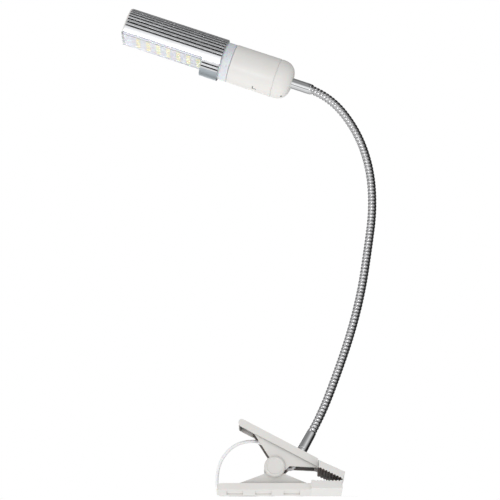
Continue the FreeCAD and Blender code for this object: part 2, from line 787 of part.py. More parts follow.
def make_fixings():
    """Two terminal screws in the insert, and the nut that holds the dome on the neck's sleeve."""
    screws = []
    for side in (-1, 1):
        head = primitive("Cylinder", HEAD.multiply(at(INSERT_START - 3, 10 * side, 0, *ALONG_X)),
                         Radius=2.6, Height=2)
        shank = primitive("Cylinder", HEAD.multiply(at(INSERT_START - 1, 10 * side, 0, *ALONG_X)),
                          Radius=1.5, Height=1)
        screws.append(fused(head, shank))
    keep(grouped(screws), "terminal_screws")
    nut = primitive("Prism", HEAD.multiply(at(4.2, 0, 0, *ALONG_X)), Polygon=6,
                    Circumradius=8.6, Height=3)
    hole = primitive("Cylinder", HEAD.multiply(at(3, 0, 0, *ALONG_X)), Radius=S["sleeve_radius"],
                     Height=8)
    keep(minus(nut, hole), "holder_nut")


# ---------------------------------------------------------------- the LED lamp

LAMP_START = S["dome_length"] + S["holder_length"]
SINK_START = LAMP_START + S["collar_length"]


def half_round(x, length, radius, depth, led_side):
    """A round bar about the head's axis, cut at this depth; keeps its LED side or the other one."""
    bar = primitive("Cylinder", HEAD.multiply(at(x, 0, 0, *ALONG_X)), Radius=radius, Height=length)
    low = -60 if led_side else number(depth)
    height = 60 + number(depth) if led_side else 60 - number(depth)
    corner = Placement(Vector(number(x) - 1, -40, low), Rotation())
    slab = primitive("Box", HEAD.multiply(corner), Length=number(length) + 2, Width=80, Height=height)
    return minus(bar, slab)


def groove_cuts(x, length, angles):
    """Straight saw cuts along the bar at these angles from the LED side, in degrees."""
    cuts = []
    reach = S["sink_radius"] - S["groove_depth"]
    for angle in angles:
        spin = Placement(Vector(), Rotation(Vector(1, 0, 0), angle))
        place = HEAD.multiply(spin).multiply(
            Placement(Vector(number(x) - 1, -S["groove_width"].value / 2, number(reach)), Rotation()))
        cuts.append(primitive("Box", place, Length=number(length) + 2, Width=S["groove_width"],
                              Height=S["groove_depth"] + 1))
    return cuts


def make_lamp_cap():
    """The screw cap that sits in the holder: shell, insulator and centre contact."""
    start = LAMP_START - 27
    radius = S["lamp_cap_radius"]
    profile = [(start, radius - 3.2), (start + 2, radius - 0.7)]
    for i in range(7):
        profile.append((start + 4 + i * 3, radius - (0.7 if i % 2 else 0)))
    back = [(x, y - 0.6) for x, y in profile[::-1]]
    turned("lamp_cap_shell", profile + back, HEAD)
    turned("lamp_cap_insulator", [
        (start - 1.6, 4.4), (start - 0.1, radius - 3.3), (start - 0.1, 4.4),
    ], HEAD)
    turned("lamp_tip_contact", [(start - 2.4, 0), (start - 2.4, 2.6), (start - 1.4, 4.3),
                                (start - 0.2, 4.3), (start - 0.2, 0)], HEAD)


def make_collar():
    """The lamp's round collar, which seats in the holder's mouth."""
    start, outer = LAMP_START, S["collar_radius"]
    end, bore = SINK_START, S["collar_bore"]
    turned("lamp_collar", [
        (start - 1.6, bore), (start - 1.6, 17.0), (start + 0.3, 17.0), (start + 0.3, outer - 0.6),
        (start + 0.9, outer), (end, outer), (end, bore),
    ], HEAD)


def make_sink():
    """The hollow finned heat sink, and the grooved block beside the LED panel."""
    length, plane = S["sink_length"], S["led_plane"]
    first_fin, fin_angle, fin_count = 84, 9.6, 21
    fins = [first_fin + i * fin_angle for i in range(fin_count)]
    bar = half_round(SINK_START, length, S["sink_radius"], plane, False)
    core = S["sink_radius"] - S["groove_depth"] - S["sink_wall"]
    cavity = half_round(SINK_START - 1, length + 2, core, plane - S["sink_face"], False)
    keep(minus(bar, cavity, *groove_cuts(SINK_START, length, fins)), "heat_sink")
    block = half_round(SINK_START, S["block_length"], S["sink_radius"], plane, True)
    rows = [41.5, 51.5, 308.5, 318.5]
    keep(minus(block, *groove_cuts(SINK_START, S["block_length"], rows)), "driver_block")


def make_panel():
    """The LED board with its chips in three rows of seven, under a clear cover."""
    start = SINK_START + S["block_length"]
    length = S["sink_length"] - S["block_length"]
    plane = S["led_plane"]
    thick = S["board_thick"]
    board = centred_box(start, 0, plane + thick / 2, length - 1, S["board_width"], thick, HEAD)
    keep(board, "led_board")
    chips = []
    for column in range(7):
        for row in (-1, 0, 1):
            x = start + 2 + S["chip_pitch"] * column
            chips.append(centred_box(x, S["chip_row_gap"] * row, plane + thick + S["chip_thick"] / 2,
                                     S["chip_length"], S["chip_width"], S["chip_thick"], HEAD))
    keep(grouped(chips), "led_chips")
    depth, wall, wide = S["cover_depth"], S["cover_wall"], S["cover_width"]
    shell = centred_box(start, 0, plane + depth / 2, length + 1.6, wide, depth, HEAD)
    inside = centred_box(start - 1, 0, plane + (depth - wall) / 2 - 0.5, length + 1.2,
                         wide - wall * 2, depth - wall + 1, HEAD)
    keep(minus(shell, inside), "led_cover")


def make_driver():
    """The driver board, held edgewise in the heat sink, with its three tallest components."""
    level, thick = S["driver_level"], S["driver_thick"]
    parts = [centred_box(SINK_START + 4, 0, level, S["driver_length"], S["driver_width"], thick, HEAD)]
    for x, y, size, high in ((10, -4, 9, 6), (24, 3, 8, 6), (40, -2, 10, 5)):
        middle = level - thick / 2 - high / 2
        parts.append(centred_box(SINK_START + x, y, middle, size, 7, high, HEAD))
    keep(fused(*parts), "driver_board")


def make_end_plate():
    """The plate that closes the heat sink's free end, and its two screws."""
    end = SINK_START + S["sink_length"]
    thick = 1.2
    keep(half_round(end, thick, S["sink_radius"] - 0.6, S["led_plane"], False), "end_plate")
    screws = []
    for side in (-1, 1):
        place = HEAD.multiply(at(end + thick, 11 * side, 3, *ALONG_X))
        screws.append(primitive("Cylinder", place, Radius=2.0, Height=1.0))
    keep(grouped(screws), "end_plate_screws")


# ---------------------------------------------------------------- all of it


def build():
    make_base_jaw()
    make_lower_boot()
    make_upper_lever()
    make_upper_boot()
    make_pivot()
    make_spring()
    for index, turn in enumerate(LINK_TURNS):
        make_link(index, turn)
    make_fittings()
    make_bushing()
    make_inner_lead()
    make_cord()
    make_plug()
    make_holder()
    make_contacts()
    make_fixings()
    make_lamp_cap()
    make_collar()
    make_sink()
    make_panel()
    make_driver()
    make_end_plate()
    doc.recompute()


def check_and_write():
    """Stops on a failed object, then writes one STEP file for each sub-part."""
    for item in doc.Objects:
        if "Invalid" in item.State or "Error" in item.State:
            raise ValueError(f"{item.Name} ({item.Label}) failed: {item.State}")
    for piece in PARTS:
        if piece.Shape.isNull() or not piece.Shape.isValid():
            raise ValueError(f"{piece.Label} has no valid shape")
    os.makedirs("parts", exist_ok=True)
    for piece in PARTS:
        piece.Shape.exportStep(f"parts/{piece.Label}.step")
        box = piece.Shape.BoundBox
        print(f"{piece.Label:20s} solids {len(piece.Shape.Solids)} volume {piece.Shape.Volume:9.1f}",
              [round(v, 1) for v in (box.XMin, box.XMax, box.YMin, box.YMax, box.ZMin, box.ZMax)])


build()
check_and_write()
print("neck places", [tuple(round(v, 2) for v in p) for p in NECK])
print("head", HEAD)
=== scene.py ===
import json
import math

import bmesh
import bpy
from mathutils import Matrix, Vector

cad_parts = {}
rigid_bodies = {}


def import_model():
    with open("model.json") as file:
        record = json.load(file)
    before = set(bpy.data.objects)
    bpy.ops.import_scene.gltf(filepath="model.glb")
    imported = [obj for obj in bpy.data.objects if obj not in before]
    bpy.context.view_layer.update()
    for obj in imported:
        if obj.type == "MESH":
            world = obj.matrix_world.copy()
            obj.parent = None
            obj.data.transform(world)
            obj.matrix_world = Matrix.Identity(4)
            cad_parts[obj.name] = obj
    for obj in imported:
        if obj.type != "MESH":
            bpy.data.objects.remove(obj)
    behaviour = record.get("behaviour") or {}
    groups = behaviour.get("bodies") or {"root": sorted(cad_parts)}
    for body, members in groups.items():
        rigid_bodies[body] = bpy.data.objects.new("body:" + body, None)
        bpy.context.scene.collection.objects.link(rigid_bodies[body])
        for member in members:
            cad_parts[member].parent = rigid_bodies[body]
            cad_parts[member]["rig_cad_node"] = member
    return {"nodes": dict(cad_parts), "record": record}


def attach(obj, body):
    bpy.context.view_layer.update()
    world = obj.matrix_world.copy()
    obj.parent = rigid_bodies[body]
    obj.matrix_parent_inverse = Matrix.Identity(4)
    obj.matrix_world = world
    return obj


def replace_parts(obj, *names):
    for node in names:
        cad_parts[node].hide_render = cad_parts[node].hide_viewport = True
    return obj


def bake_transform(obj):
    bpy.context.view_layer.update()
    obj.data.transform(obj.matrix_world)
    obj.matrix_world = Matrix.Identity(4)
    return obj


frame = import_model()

# A clip-on reading lamp: metres, +Z up, +X towards the jaws, the lamp head reaching towards -X.

NODES = frame["nodes"]
SCENE = bpy.context.scene
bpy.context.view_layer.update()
MM = 0.001

# The neck: where it starts, the length of each of its nine bends, and how far each one turns.
NECK_START = Vector((31.2, 0, 59.4)) * MM
NECK_HEADING = 61.4
LINK_LENGTH = 43.45 * MM
LINK_TURNS = [7.8, 1.9, 4.6, 5.4, 1.2, 11.1, 16, 19, 32.6]
NECK_BODIES = ["lever"] + [f"neck_{i}" for i in range(2, 9)] + ["head"]
SLEEVE_LENGTH = 16 * MM
PIVOT = Vector((-4.8, 0, 23.8)) * MM

# ---------------------------------------------------------------- camera


def look_from(place, target):
    return (Vector(target) - Vector(place)).to_track_quat("-Z", "Y")


def make_camera():
    """A long lens, three metres off and a little below the table's height."""
    target = Vector((-0.029, 0, 0.2457))
    distance, climb = 3, math.radians(14.6)
    camera = bpy.data.objects.new("camera", bpy.data.cameras.new("camera"))
    camera.location = target - Vector((0, math.cos(climb), math.sin(climb))) * distance
    camera.rotation_mode = "QUATERNION"
    camera.rotation_quaternion = look_from(camera.location, target)
    camera.data.lens = 216
    camera.data.clip_end = 50
    SCENE.collection.objects.link(camera)
    SCENE.camera = camera


# ---------------------------------------------------------------- the cord

CORD_DIAMETER = 3.2 * MM
CORD_ROUTE = [
    (-0.0214, 0, 0.051), (-0.034, 0, 0.0518), (-0.049, 0.001, 0.0445), (-0.059, 0.005, 0.031),
    (-0.062, 0.016, 0.017), (-0.061, 0.030, 0.0066), (-0.0589, 0.044, 0.0017), (-0.0594, 0.055, 0.0017),
]
TAIL_ROUTE = [
    (-0.0215, 0.0922, 0.0107), (-0.008, 0.0905, 0.0094), (0.002, 0.0825, 0.0074), (0.012, 0.080, 0.00685),
]
COIL_CENTRE = (-0.031, 0.064)
COIL_TURNS = 10.25
COIL_POINTS_A_TURN = 16
COIL_LAYERS = 4
COIL_OUTER, COIL_BAND = 0.0275, 0.0090
COIL_LOWEST, COIL_LAYER_RISE = 0.0017, 0.0030
CLIMB_FROM = 0.8  # how far through a layer the cord starts to climb to the next


def coil_points():
    """The put-away turns: four layers, each winding across from one side of the coil to the other."""
    count = round(COIL_TURNS * COIL_POINTS_A_TURN)
    points = []
    for i in range(1, count):
        turn = i / COIL_POINTS_A_TURN
        angle = math.pi - turn * 2 * math.pi
        layer = COIL_LAYERS * i / count
        inward = layer % 2 if layer % 2 < 1 else 2 - layer % 2
        radius = COIL_OUTER - COIL_BAND * inward
        climb = min(1, max(0, (layer % 1 - CLIMB_FROM) / 0.2)) if layer < COIL_LAYERS - 1 else 0
        height = COIL_LOWEST + COIL_LAYER_RISE * (math.floor(layer) + climb)
        x = COIL_CENTRE[0] + radius * math.cos(angle)
        y = COIL_CENTRE[1] + radius * math.sin(angle)
        points.append((x, y, height))
    return points


def nurbs(name, points):
    """One open smooth spline with these control points."""
    curve = bpy.data.curves.new(name, "CURVE")
    curve.dimensions = "3D"
    curve.resolution_u = 6
    spline = curve.splines.new("NURBS")
    spline.points.add(len(points) - 1)
    for target, point in zip(spline.points, points):
        target.co = (*point, 1)
    spline.order_u = 3
    spline.use_endpoint_u = True
    holder = bpy.data.objects.new(name, curve)
    SCENE.collection.objects.link(holder)
    return holder


def line_of(curve_object):
    """The points along a curve's own line."""
    mesh = bpy.data.meshes.new_from_object(curve_object)
    points = [v.co.copy() for v in mesh.vertices]
    bpy.data.meshes.remove(mesh)
    return points


# ---------------------------------------------------------------- ways of making a mesh

EDGE_ANGLE = 32  # edges sharper than this many degrees are rounded


def new_mesh(name, verts, faces, smooth=True):
    mesh = bpy.data.meshes.new(name)
    mesh.from_pydata([tuple(v) for v in verts], [], faces)
    mesh.update()
    for polygon in mesh.polygons:
        polygon.use_smooth = smooth
    piece = bpy.data.objects.new(name, mesh)
    SCENE.collection.objects.link(piece)
    return piece


def skin_rings(name, rings, closed=False):
    """A closed skin over rings of points, capped at both ends, or joined end to end."""
    size = len(rings[0])
    verts = [v for ring in rings for v in ring]
    faces = []
    last = len(rings) if closed else len(rings) - 1
    for i in range(last):
        a, b = i * size, (i + 1) % len(rings) * size
        for k in range(size):
            n = (k + 1) % size
            faces.append((a + k, a + n, b + n, b + k))
    if not closed:
        faces.append(tuple(range(size))[::-1])
        faces.append(tuple(range((len(rings) - 1) * size, len(rings) * size)))
    piece = new_mesh(name, verts, faces)
    fix_normals(piece)
    return piece


def fix_normals(piece):
    work = bmesh.new()
    work.from_mesh(piece.data)
    bmesh.ops.recalc_face_normals(work, faces=work.faces)
    work.to_mesh(piece.data)
    work.free()


def tube_along(name, points, radius, sides=16):
    """A round tube whose section is carried along the points without twisting."""
    rings = []
    way = (points[1] - points[0]).normalized()
    across = way.cross(Vector((0, 1, 0))).normalized()
    for i, point in enumerate(points):
        ahead = points[min(i + 1, len(points) - 1)] - points[max(i - 1, 0)]
        way = ahead.normalized()
        across = (across - way * across.dot(way)).normalized()
        other = way.cross(across)
        ring = []
        for k in range(sides):
            angle = 2 * math.pi * k / sides
            ring.append(point + (across * math.cos(angle) + other * math.sin(angle)) * radius)
        rings.append(ring)
    return skin_rings(name, rings)


def lathe(name, profile, place, sides=96):
    """A closed profile of (along, radius) in millimetres, turned about the place's own X axis."""
    rings = []
    for k in range(sides):
        angle = 2 * math.pi * k / sides
        turn = Matrix.Rotation(angle, 4, "X")
        rings.append([place @ turn @ Vector((a * MM, 0, r * MM)) for a, r in profile])
    return skin_rings(name, rings, closed=True)


def rounded(profile, radius, steps=5):
    """The profile with its corners rounded."""
    points = []
    count = len(profile)
    for i, corner in enumerate(profile):
        here = Vector(corner)
        before = Vector(profile[i - 1]) - here
        after = Vector(profile[(i + 1) % count]) - here
        size = min(radius, before.length * 0.45, after.length * 0.45)
        if size < 1e-4:
            points.append(tuple(here))
            continue
        start = here + before.normalized() * size
        end = here + after.normalized() * size
        for k in range(steps + 1):
            t = k / steps
            points.append(tuple(start * (1 - t) ** 2 + here * 2 * t * (1 - t) + end * t ** 2))
    return points


def soften_edges(piece, width, segments=3):
    """Rounds a CAD piece's edges a little, with normals that follow its flat faces."""
    piece.modifiers.new("Weld", "WELD").merge_threshold = 1e-6
    bevel = piece.modifiers.new("Bevel", "BEVEL")
    bevel.width = width * MM
    bevel.segments = segments
    bevel.limit_method = "ANGLE"
    bevel.angle_limit = math.radians(EDGE_ANGLE)
    bevel.use_clamp_overlap = True
    for polygon in piece.data.polygons:
        polygon.use_smooth = True
    normals = piece.modifiers.new("Normals", "WEIGHTED_NORMAL")
    normals.keep_sharp = False
    normals.weight = 80


def box(name, size, place, bevel):
    """A box of this size in millimetres, centred on the place, with rounded edges."""
    half = [s * MM / 2 for s in size]
    corners = [(x, y, z) for x in (-1, 1) for y in (-1, 1) for z in (-1, 1)]
    verts = [place @ Vector((x * half[0], y * half[1], z * half[2])) for x, y, z in corners]
    faces = [(0, 1, 3, 2), (4, 6, 7, 5), (0, 4, 5, 1), (2, 3, 7, 6), (0, 2, 6, 4), (1, 5, 7, 3)]
    piece = new_mesh(name, verts, faces)
    fix_normals(piece)
    soften_edges(piece, bevel, 2)
    return piece


# ---------------------------------------------------------------- materials


def mixed(tree, factor, first, second):
    """Two shaders mixed by a factor, in a world's node tree or a material's."""
    mix = tree.nodes.new("ShaderNodeMixShader")
    tree.links.new(factor, mix.inputs["Fac"])
    tree.links.new(first, mix.inputs[1])
    tree.links.new(second, mix.inputs[2])
    return mix.outputs[0]


def mixed_colours(tree, blend, first, second, factor=None):
    """Two colours mixed by a factor, or multiplied."""
    mix = tree.nodes.new("ShaderNodeMix")
    mix.data_type = "RGBA"
    mix.blend_type = blend
    mix.inputs["Factor"].default_value = 1
    if factor is not None:
        tree.links.new(factor, mix.inputs["Factor"])
    tree.links.new(first, mix.inputs[6])
    tree.links.new(second, mix.inputs[7])
    return mix.outputs[2]


class Looks:
    """A material whose nodes are added one at a time."""

    def __init__(self, name):
        self.material = bpy.data.materials.new(name)
        self.material.use_nodes = True
        self.nodes = self.material.node_tree.nodes
        self.links = self.material.node_tree.links
        self.shader = self.nodes["Principled BSDF"]

    def set(self, **values):
        for name, value in values.items():
            socket = self.shader.inputs[name.replace("_", " ")]
            socket.default_value = value

    def noise(self, scale, detail=4, stretch=(1, 1, 1), turn=0):
        """Noise in object coordinates, finer along the axes with a larger stretch."""
        where = self.nodes.new("ShaderNodeTexCoord")
        mapping = self.nodes.new("ShaderNodeMapping")
        mapping.inputs["Rotation"].default_value = (0, math.radians(turn), 0)
        mapping.vector_type = "TEXTURE"
        mapping.inputs["Scale"].default_value = [1 / s for s in stretch]
        texture = self.nodes.new("ShaderNodeTexNoise")
        texture.inputs["Scale"].default_value = scale
        texture.inputs["Detail"].default_value = detail
        self.links.new(where.outputs["Object"], mapping.inputs["Vector"])
        self.links.new(mapping.outputs["Vector"], texture.inputs["Vector"])
        return texture.outputs["Fac"]

    def spread(self, value, low, high, socket):
        """Feeds a 0 to 1 value into a socket as low to high."""
        ranged = self.nodes.new("ShaderNodeMapRange")
        ranged.inputs["From Min"].default_value = 0.3
        ranged.inputs["From Max"].default_value = 0.7
        ranged.inputs["To Min"].default_value = low
        ranged.inputs["To Max"].default_value = high
        self.links.new(value, ranged.inputs["Value"])
        self.links.new(ranged.outputs["Result"], self.shader.inputs[socket])

    def tint(self, value, low, high):
        """Feeds a 0 to 1 value into the base colour, between two colours."""
        ramp = self.nodes.new("ShaderNodeValToRGB")
        ramp.color_ramp.elements[0].position = 0.3
        ramp.color_ramp.elements[1].position = 0.7
        ramp.color_ramp.elements[0].color = (*low, 1)
        ramp.color_ramp.elements[1].color = (*high, 1)
        self.links.new(value, ramp.inputs["Fac"])
        self.links.new(ramp.outputs["Color"], self.shader.inputs["Base Color"])

    def painted_shade(self, distance, darkest):
        """Painted shade: darkens the base colour in deep corners and inside hollow places, by ambient
        occlusion.
        """
        source = self.shader.inputs["Base Color"].links[0].from_socket
        corners = self.nodes.new("ShaderNodeAmbientOcclusion")
        corners.only_local = True
        corners.inputs["Distance"].default_value = distance
        ranged = self.nodes.new("ShaderNodeMapRange")
        ranged.inputs["From Min"].default_value = 0.25
        ranged.inputs["From Max"].default_value = 0.85
        ranged.inputs["To Min"].default_value = darkest
        self.links.new(corners.outputs["AO"], ranged.inputs["Value"])
        product = mixed_colours(self, "MULTIPLY", source, ranged.outputs[0])
        self.links.new(product, self.shader.inputs["Base Color"])

    def bump(self, value, depth, strength=1.0):
        """A bump of this depth in millimetres."""
        bump = self.nodes.new("ShaderNodeBump")
        bump.inputs["Strength"].default_value = strength
        bump.inputs["Distance"].default_value = depth * MM
        self.links.new(value, bump.inputs["Height"])
        self.links.new(bump.outputs["Normal"], self.shader.inputs["Normal"])


def moulded(name, colour, roughness, grain=0.02, hollow_shade=(0.012, 0.3)):
    """Moulded plastic or rubber: fine spark-eroded grain, uneven sheen, a faint mottle and painted shade in
    its deep corners.
    """
    look = Looks(name)
    look.set(IOR=1.5, Subsurface_Weight=0.06, Subsurface_Scale=0.004)
    look.tint(look.noise(35), tuple(c * 0.97 for c in colour), colour)
    look.painted_shade(*hollow_shade)
    look.spread(look.noise(160), roughness - 0.05, roughness + 0.07, "Roughness")
    look.bump(look.noise(2600, 3), grain, 0.5)
    return look.material


def metal(name, colour, roughness, stretch=(1, 1, 1), turn=0, depth=0.01, scale=900, hollow_shade=None):
    """Metal with fine marks that run along one direction, a slightly uneven polish, and painted shade in
    its deep corners when hollow_shade is given.
    """
    look = Looks(name)
    look.set(Metallic=1.0)
    look.tint(look.noise(60), tuple(c * 0.94 for c in colour), colour)
    if hollow_shade:
        look.painted_shade(*hollow_shade)
    look.spread(look.noise(scale, 4, stretch, turn), roughness * 0.8, roughness * 1.25, "Roughness")
    look.bump(look.noise(scale * 1.3, 3, stretch, turn), depth, 0.35)
    return look.material


def clouded(name, colour, through, roughness, lets_light_in=False):
    """Translucent plastic; a clear cover also lets the light in to what it covers."""
    look = Looks(name)
    look.set(IOR=1.49, Transmission_Weight=through, Subsurface_Weight=0.3, Subsurface_Scale=0.006)
    look.tint(look.noise(50), tuple(c * 0.96 for c in colour), colour)
    look.spread(look.noise(220), roughness - 0.04, roughness + 0.06, "Roughness")
    look.bump(look.noise(1500, 3), 0.01, 0.4)
    if lets_light_in:
        ray = look.nodes.new("ShaderNodeLightPath")
        clear = look.nodes.new("ShaderNodeBsdfTransparent")
        lit = mixed(look, ray.outputs["Is Shadow Ray"], look.shader.outputs["BSDF"], clear.outputs[0])
        lit = mixed(look, ray.outputs["Is Diffuse Ray"], lit, clear.outputs[0])
        look.links.new(lit, look.nodes["Material Output"].inputs["Surface"])
    return look.material


HEAD_HEADING = NECK_HEADING + sum(LINK_TURNS)


def make_materials():
    warm, cord = (0.79, 0.775, 0.75), (0.93, 0.93, 0.94)
    # Painted glow: the LED chips give off a faint yellow light of their own, though the lamp is off.
    chips = Looks("chips")
    chips.set(IOR=1.45, Subsurface_Weight=0.3, Subsurface_Scale=0.002, Emission_Strength=0.22,
              Emission_Color=(1.0, 0.93, 0.62, 1))
    chips.tint(chips.noise(700), (0.90, 0.80, 0.30), (0.96, 0.90, 0.50))
    chips.spread(chips.noise(900), 0.22, 0.38, "Roughness")
    chips.bump(chips.noise(1800), 0.02, 0.4)
    green = Looks("green_board")
    green.set(IOR=1.5, Coat_Weight=0.6, Coat_Roughness=0.15)
    green.tint(green.noise(500, 2), (0.03, 0.14, 0.05), (0.06, 0.24, 0.09))
    green.spread(green.noise(300), 0.3, 0.45, "Roughness")
    green.bump(green.noise(1200), 0.03, 0.4)
    along_head = (0.02, 1, 1)
    # Every moulded look, and neck_steel and aluminium, have painted shade in their deep corners and hollow
    # places.
    return {
        "white_plastic": moulded("white_plastic", warm, 0.34, 0.02, (0.012, 0.35)),
        "base_plastic": moulded("base_plastic", warm, 0.36, 0.02, (0.006, 0.7)),
        # painted shade: a dark plastic that stands for the shadow inside the lever's channel
        "painted_shade_plastic": moulded("painted_shade_plastic", (0.22, 0.20, 0.19), 0.5, 0.02, (0.02, 0.15)),
        "white_rubber": moulded("white_rubber", (0.77, 0.76, 0.74), 0.58, 0.03),
        "insert_ceramic": moulded("insert_ceramic", (0.8, 0.79, 0.76), 0.5),
        "cord_white": moulded("cord_white", cord, 0.42),
        # painted shade: near-black that stands for the shadow under the upper jaw
        "painted_shade_rubber": moulded("painted_shade_rubber", (0.075, 0.052, 0.045), 0.6, 0.04),
        "block_face": metal("block_face", (0.60, 0.66, 0.70), 0.4, along_head, HEAD_HEADING, 0.003),
        "black_insulator": moulded("black_insulator", (0.012, 0.012, 0.014), 0.2),
        "chrome": metal("chrome", (0.83, 0.84, 0.85), 0.07, depth=0.003),
        # painted shade between the hose's ribs
        "neck_steel": metal("neck_steel", (0.72, 0.72, 0.73), 0.17, depth=0.006, hollow_shade=(0.0015, 0.3)),
        "spring_steel": metal("spring_steel", (0.55, 0.55, 0.57), 0.28),
        "zinc_steel": metal("zinc_steel", (0.66, 0.67, 0.70), 0.3),
        # painted shade deep in the heat sink's grooves
        "aluminium": metal("aluminium", (0.86, 0.87, 0.89), 0.30, along_head, HEAD_HEADING, 0.003,
                           hollow_shade=(0.0035, 0.06)),
        "brass": metal("brass", (0.83, 0.62, 0.29), 0.22),
        "lamp_cap_metal": metal("lamp_cap_metal", (0.78, 0.78, 0.79), 0.22),
        "frosted_plastic": clouded("frosted_plastic", (0.88, 0.90, 0.95), 0.2, 0.3),
        "clear_cover": clouded("clear_cover", (0.96, 0.97, 1.0), 0.93, 0.12, True),
        "board_white": moulded("board_white", (0.84, 0.84, 0.93), 0.3, 0.01, (0.002, 0.6)),
        "led_yellow": chips.material,
        "board_green": green.material,
    }


LOOKS = make_materials()

# How far each CAD piece's edges are rounded, in millimetres.
EDGE_WIDTHS = {
    "base_jaw": 0.6, "upper_lever": 0.5, "lower_jaw_pad": 0.5, "upper_jaw_pad": 0.5,
    "plug_body": 0.5, "plug_pins": 0.4, "heat_sink": 0.14, "driver_block": 0.14, "led_board": 0.1,
    "led_chips": 0.15, "driver_board": 0.15, "end_plate": 0.25, "end_plate_screws": 0.4,
    "contact_insert": 0.4, "centre_tongue": 0.1, "terminal_screws": 0.3, "holder_nut": 0.3,
    "neck_lock_nut": 0.3, "neck_washer": 0.2, "screw_shell": 0.1, "lamp_cap_insulator": 0.2,
    "lamp_tip_contact": 0.2, "pivot_pin": 0.3, "led_cover": 0.5,
}


def paint(piece, slot):
    """Gives a piece the material of one of the record's slots."""
    piece.data.materials.clear()
    piece.data.materials.append(LOOKS[slot])
    return piece


def paint_nodes():
    """Every CAD node takes its slot's material, and its edges are rounded a little."""
    for part in frame["record"]["subparts"]:
        paint(NODES[part["node"]], part["material_slot"])
    for name, width in EDGE_WIDTHS.items():
        soften_edges(NODES[name], width)


def paint_faces(node, look, wanted):
    """Gives a second material to the faces of a CAD piece that wanted() picks."""
    mesh = NODES[node].data
    mesh.materials.append(LOOKS[look])
    for polygon in mesh.polygons:
        if wanted(polygon):
            polygon.material_index = len(mesh.materials) - 1


def paint_second_looks():
    """Painted shade on the upper jaw pad's gripping face and on the lever's inside, and the driver block's
    smooth face.
    """
    bite = Vector((-0.44, 0, -0.9))
    led_side = HEAD.to_3x3() @ Vector((0, 0, 1))
    inner = 9.4 * MM
    # Painted shade: the upper jaw pad's faces turned down to the bite take near-black rubber that stands
    # for the shadow under the jaw.
    paint_faces("upper_jaw_pad", "painted_shade_rubber", lambda p: p.normal.dot(bite) > 0.1)
    paint_faces("driver_block", "block_face", lambda p: p.normal.dot(led_side) > 0.83)
    # Painted shade: the lever's inner faces take a dark plastic that stands for the shadow inside its
    # channel.
    paint_faces("upper_lever", "painted_shade_plastic",
                lambda p: abs(p.center.y) < inner and (abs(p.normal.y) > 0.9 or p.normal.z < -0.3))
    NODES["base_jaw"].data.materials[0] = LOOKS["base_plastic"]


# ---------------------------------------------------------------- the neck


def neck_point(distance):
    """The neck's centre line at a distance along it, as (place, heading in radians)."""
    place, heading = NECK_START.copy(), math.radians(NECK_HEADING)
    for turn in LINK_TURNS:
        angle = math.radians(turn)
        run = min(distance, LINK_LENGTH)
        part = angle * run / LINK_LENGTH
        chord = run * math.sin(part / 2) / (part / 2) if run > 1e-9 else 0
        middle = heading + part / 2
        place = place + Vector((math.cos(middle), 0, math.sin(middle))) * chord
        heading += part
        distance -= run
        if distance <= 1e-9:
            break
    return place, heading


RIB_PITCH = 3.55 * MM
RIB_STEPS = 10
RIB_ROOT, RIB_RISE = 3.5, 0.93
BEND_REACH = 0.018  # make_hose takes neck points at this reach on each side of a joint, but nothing uses them
HOSE_SIDES = 40


def rib_height(phase):
    """The wound strip's outer surface: rounded ribs with a narrow groove between them."""
    across = abs(phase - 0.5) * 2
    return math.sqrt(max(0, 1 - across ** 2.2))


def hose_ring(distance):
    """One ring of the hose; its ribs are wound as a helix."""
    place, heading = neck_point(distance)
    along = Vector((math.cos(heading), 0, math.sin(heading)))
    side = Vector((0, 1, 0))
    out = along.cross(side)
    ring = []
    for k in range(HOSE_SIDES):
        angle = 2 * math.pi * k / HOSE_SIDES
        phase = (distance / RIB_PITCH - k / HOSE_SIDES) % 1
        radius = (RIB_ROOT + RIB_RISE * rib_height(phase)) * MM
        ring.append(place + (out * math.cos(angle) + side * math.sin(angle)) * radius)
    return ring


def make_hose():
    """The hose in stretches cut at the middle of each of its nine links: the first rides on the lever, the
    last on the head, and those between are fixed in place.
    """
    count = len(LINK_TURNS)
    step = RIB_PITCH / RIB_STEPS
    cuts = [0] + [(i + 0.5) * LINK_LENGTH for i in range(count)] + [count * LINK_LENGTH]
    for index, (start, end) in enumerate(zip(cuts, cuts[1:])):
        steps = round((end - start) / step)
        rings = [hose_ring(start + (end - start) * i / steps) for i in range(steps + 1)]
        piece = paint(skin_rings(f"hose_{index}", rings), "neck_steel")
        if index < count:
            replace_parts(piece, f"neck_link_{index + 1}")
        if index == 0 or index == count:
            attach(piece, NECK_BODIES[min(index, count - 1)])
            continue
        low = neck_point(index * LINK_LENGTH - BEND_REACH)[0]
        high = neck_point(index * LINK_LENGTH + BEND_REACH)[0]
        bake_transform(piece)


def neck_place(distance):
    """A frame on the neck with +X along it, away from the clip."""
    place, heading = neck_point(distance)
    return Matrix.Translation(place) @ Matrix.Rotation(-heading, 4, "Y")


